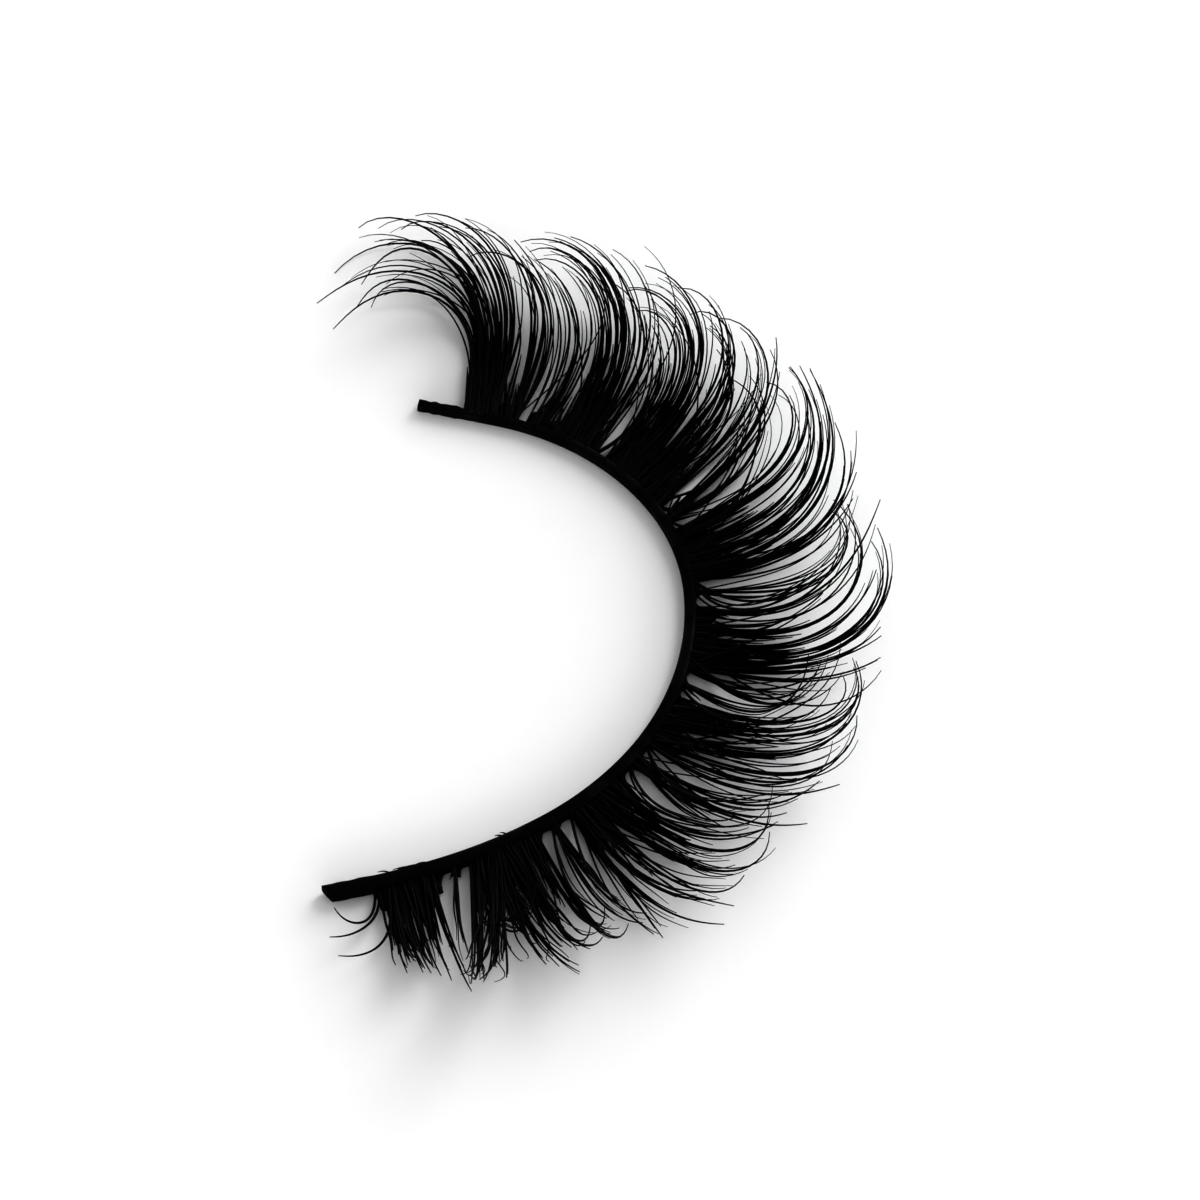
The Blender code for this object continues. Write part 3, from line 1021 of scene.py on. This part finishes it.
def winding_tree():
    bench, given, ids = new_tree("wind_thread", WINDING_INPUTS)
    path = bench.node("GeometryNodeMeshToCurve", {}, {"Mesh": given["Geometry"]})["Curve"]
    line = point_line(bench, given["Turns"] * given["Points per turn"])
    share = bench.node("GeometryNodeSplineParameter")["Factor"]
    spot = bench.node("GeometryNodeSampleCurve", {"use_all_curves": True}, {"Curves": path, "Factor": share})
    upright = {0: (0, 0, 1), 1: spot["Tangent"]}
    away = bench.node("ShaderNodeVectorMath", {"operation": "CROSS_PRODUCT"}, upright)["Vector"]
    angle = share * given["Turns"] * math.tau
    cosine = bench.math("COSINE", angle)
    sine = bench.math("SINE", angle)
    rim = bench.math("ABSOLUTE", cosine) ** SQUARENESS + bench.math("ABSOLUTE", sine) ** SQUARENESS
    reach = rim ** (-1 / SQUARENESS)
    width = given["Width at the start"] * (1 - share) + given["Width at the end"] * share
    height = given["Height at the start"] * (1 - share) + given["Height at the end"] * share
    sunk = given["Thread radius"] * (1 - THREAD_PROUD)
    aside = (width / 2 - sunk) * cosine * reach
    rise = (height / 2 - sunk) * sine * reach + height / 2 + given["Thread radius"] * THREAD_PROUD
    lifted = bench.node("ShaderNodeCombineXYZ", {}, {"Z": rise})["Vector"]
    place = added(bench, added(bench, spot["Position"], scaled(bench, away, aside)), lifted)
    wound = bench.node("GeometryNodeSetPosition", {}, {"Geometry": line, "Position": place})["Geometry"]
    tube = round_tube(bench, wound, given["Thread radius"], THREAD_SIDES)
    end_tree(bench, tube, given["Thread"])
    return bench.tree, ids


wound_length = BAND_RUN - 2 * BARE_END
wound_runs = [BARE_END + wound_length * step / LINE_STEPS for step in range(LINE_STEPS + 1)]
line_mesh = bpy.data.meshes.new("band_winding")
line_edges = [(step, step + 1) for step in range(LINE_STEPS)]
line_mesh.from_pydata([band_frame(run)[0] for run in wound_runs], line_edges, [])
winding = bpy.data.objects.new("band_winding", line_mesh)
bpy.context.collection.objects.link(winding)
first_size = band_size(wound_runs[0])
last_size = band_size(wound_runs[-1])
run_tree(winding, *winding_tree(), {
    "Turns": wound_length / THREAD_PITCH,
    "Points per turn": 16,
    "Thread radius": THREAD_RADIUS,
    "Width at the start": first_size[0],
    "Width at the end": last_size[0],
    "Height at the start": first_size[1],
    "Height at the end": last_size[1],
    "Thread": cotton,
})
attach(winding, "root")
print("winding:", len(winding.data.polygons), "faces")

# %% [markdown]
# ## Lint
#
# A few ends of fibre stick out of the band's inner side near the inner corner. They are hairs too,
# short and thin, so their rows have the same columns and the same tree grows them: they lie along the
# band and stand off it in a small bow. Here lean is towards the inner corner.

# %% Lint
WISPS = [
    Lock(9, 30.3, 0.5, 50, 62, 80, 1.2, 1.0),
    Lock(9, 30.5, 0.9, 20, 76, 85, 1.2, 1.0),
    Lock(9, 30.8, 0.8, 30, 74, 75, 1.2, 1.0),
    Lock(9, 31.1, 0.5, 80, 66, 60, 1.2, 1.0),
    Lock(9, 31.7, 0.45, 60, 45, 80, 1.2, 1.0),
    Lock(8, 27.3, 0.25, 60, 20, 70, 1.2, 1.0),
    Lock(8, 27.45, 0.3, 50, 40, 60, 1.2, 1.0),
]
WISP_RADIUS = 0.030 * MM
WISP_ASIDE = 0.42
WISP_HEIGHT = 0.8


def wisp_hair(wisp, dice):
    """A short hair that leaves the band's inner side and bends back towards the inner corner."""
    made = hair_at(wisp.run, wisp, WISP_RADIUS, 1.0, dice)
    point, along, outward = band_frame(wisp.run * MM)
    width, height = band_size(wisp.run * MM)
    lean = math.radians(wisp.lean)
    made["root"] = point - outward * width * WISP_ASIDE + UP * height * WISP_HEIGHT
    made["ahead"] = -outward * math.cos(lean) + along * math.sin(lean)
    made["curl"] = outward * math.sin(lean) + along * math.cos(lean)
    return made


lint_dice = random.Random(7)
hair_piece("band_lint", [wisp_hair(wisp, lint_dice) for wisp in WISPS])

# %% [markdown]
# ## The table
#
# The strip lies on a table as white as paper, which reaches beyond the frame on all sides. Only where
# the hairs hold back the light does it turn grey.

# %% Table
TABLE_SIZE = 2.0


def table_material():
    made, bench = new_material("white_table")
    finish_material(bench, {
        "Base Color": (0.93, 0.93, 0.93, 1), "Roughness": 0.9, "Specular IOR Level": 0.1,
    })
    return made


bm = bmesh.new()
bmesh.ops.create_grid(bm, x_segments=1, y_segments=1, size=TABLE_SIZE / 2)
table_mesh = bpy.data.meshes.new("table")
bm.to_mesh(table_mesh)
bm.free()
table_mesh.materials.append(table_material())
table = bpy.data.objects.new("table", table_mesh)
bpy.context.collection.objects.link(table)

# %% [markdown]
# ## The light
#
# In the photo the light comes from the right, low enough to throw the shade of the lashes into the C.
# A soft lamp stands at the upper right, and a ring of light round the room, low and strongest on the
# right, fills its shadows so that they have no edge. The room itself is even and bright. The view
# gamma gives the hard contrast of the photo: pure white and nearly pure black.

# %% Light
VIEW_GAMMA = 0.65
LAMP_DISTANCE = 0.5
ROOM_STRENGTH = 0.58
RING_STRENGTH = 15.0
RING_STOPS = [(0.04, 0.0), (0.08, 1.0), (0.20, 1.0), (0.32, 0.0)]
RING_EVEN = 0.58
RING_ONE_SIDED = 0.42


def soft_lamp(name, azimuth, elevation, power, size):
    """A square lamp half a metre from the strip; azimuth 0 is +X, and 90 is +Y."""
    azimuth = math.radians(azimuth)
    elevation = math.radians(elevation)
    flat = Vector((math.cos(azimuth), math.sin(azimuth), 0))
    towards = flat * math.cos(elevation) + UP * math.sin(elevation)
    data = bpy.data.lights.new(name, "AREA")
    data.shape = "SQUARE"
    data.size = size
    data.energy = power
    lamp = bpy.data.objects.new(name, data)
    lamp.location = towards * LAMP_DISTANCE
    lamp.rotation_euler = towards.to_track_quat("Z", "Y").to_euler()
    bpy.context.collection.objects.link(lamp)


view = bpy.context.scene.view_settings
view.view_transform = "Standard"
view.gamma = VIEW_GAMMA
soft_lamp("window", azimuth=50, elevation=30, power=1.35, size=0.25)
world = bpy.data.worlds.new("room")
world.use_nodes = True
world.node_tree.nodes.clear()
room = Bench(world.node_tree)
direction = room.node("ShaderNodeTexCoord")["Generated"]
parts = room.node("ShaderNodeSeparateXYZ", {}, {"Vector": direction})
ring = room.node("ShaderNodeValToRGB", {"stops": RING_STOPS}, {"Fac": parts["Z"]})["Color"]
strength = ring * (RING_EVEN + parts["X"] * RING_ONE_SIDED) * RING_STRENGTH + ROOM_STRENGTH
light = room.node("ShaderNodeBackground", {}, {"Strength": strength})["Background"]
room.node("ShaderNodeOutputWorld", {}, {"Surface": light})
bpy.context.scene.world = world
print("light:", len(world.node_tree.nodes), "nodes in the room")
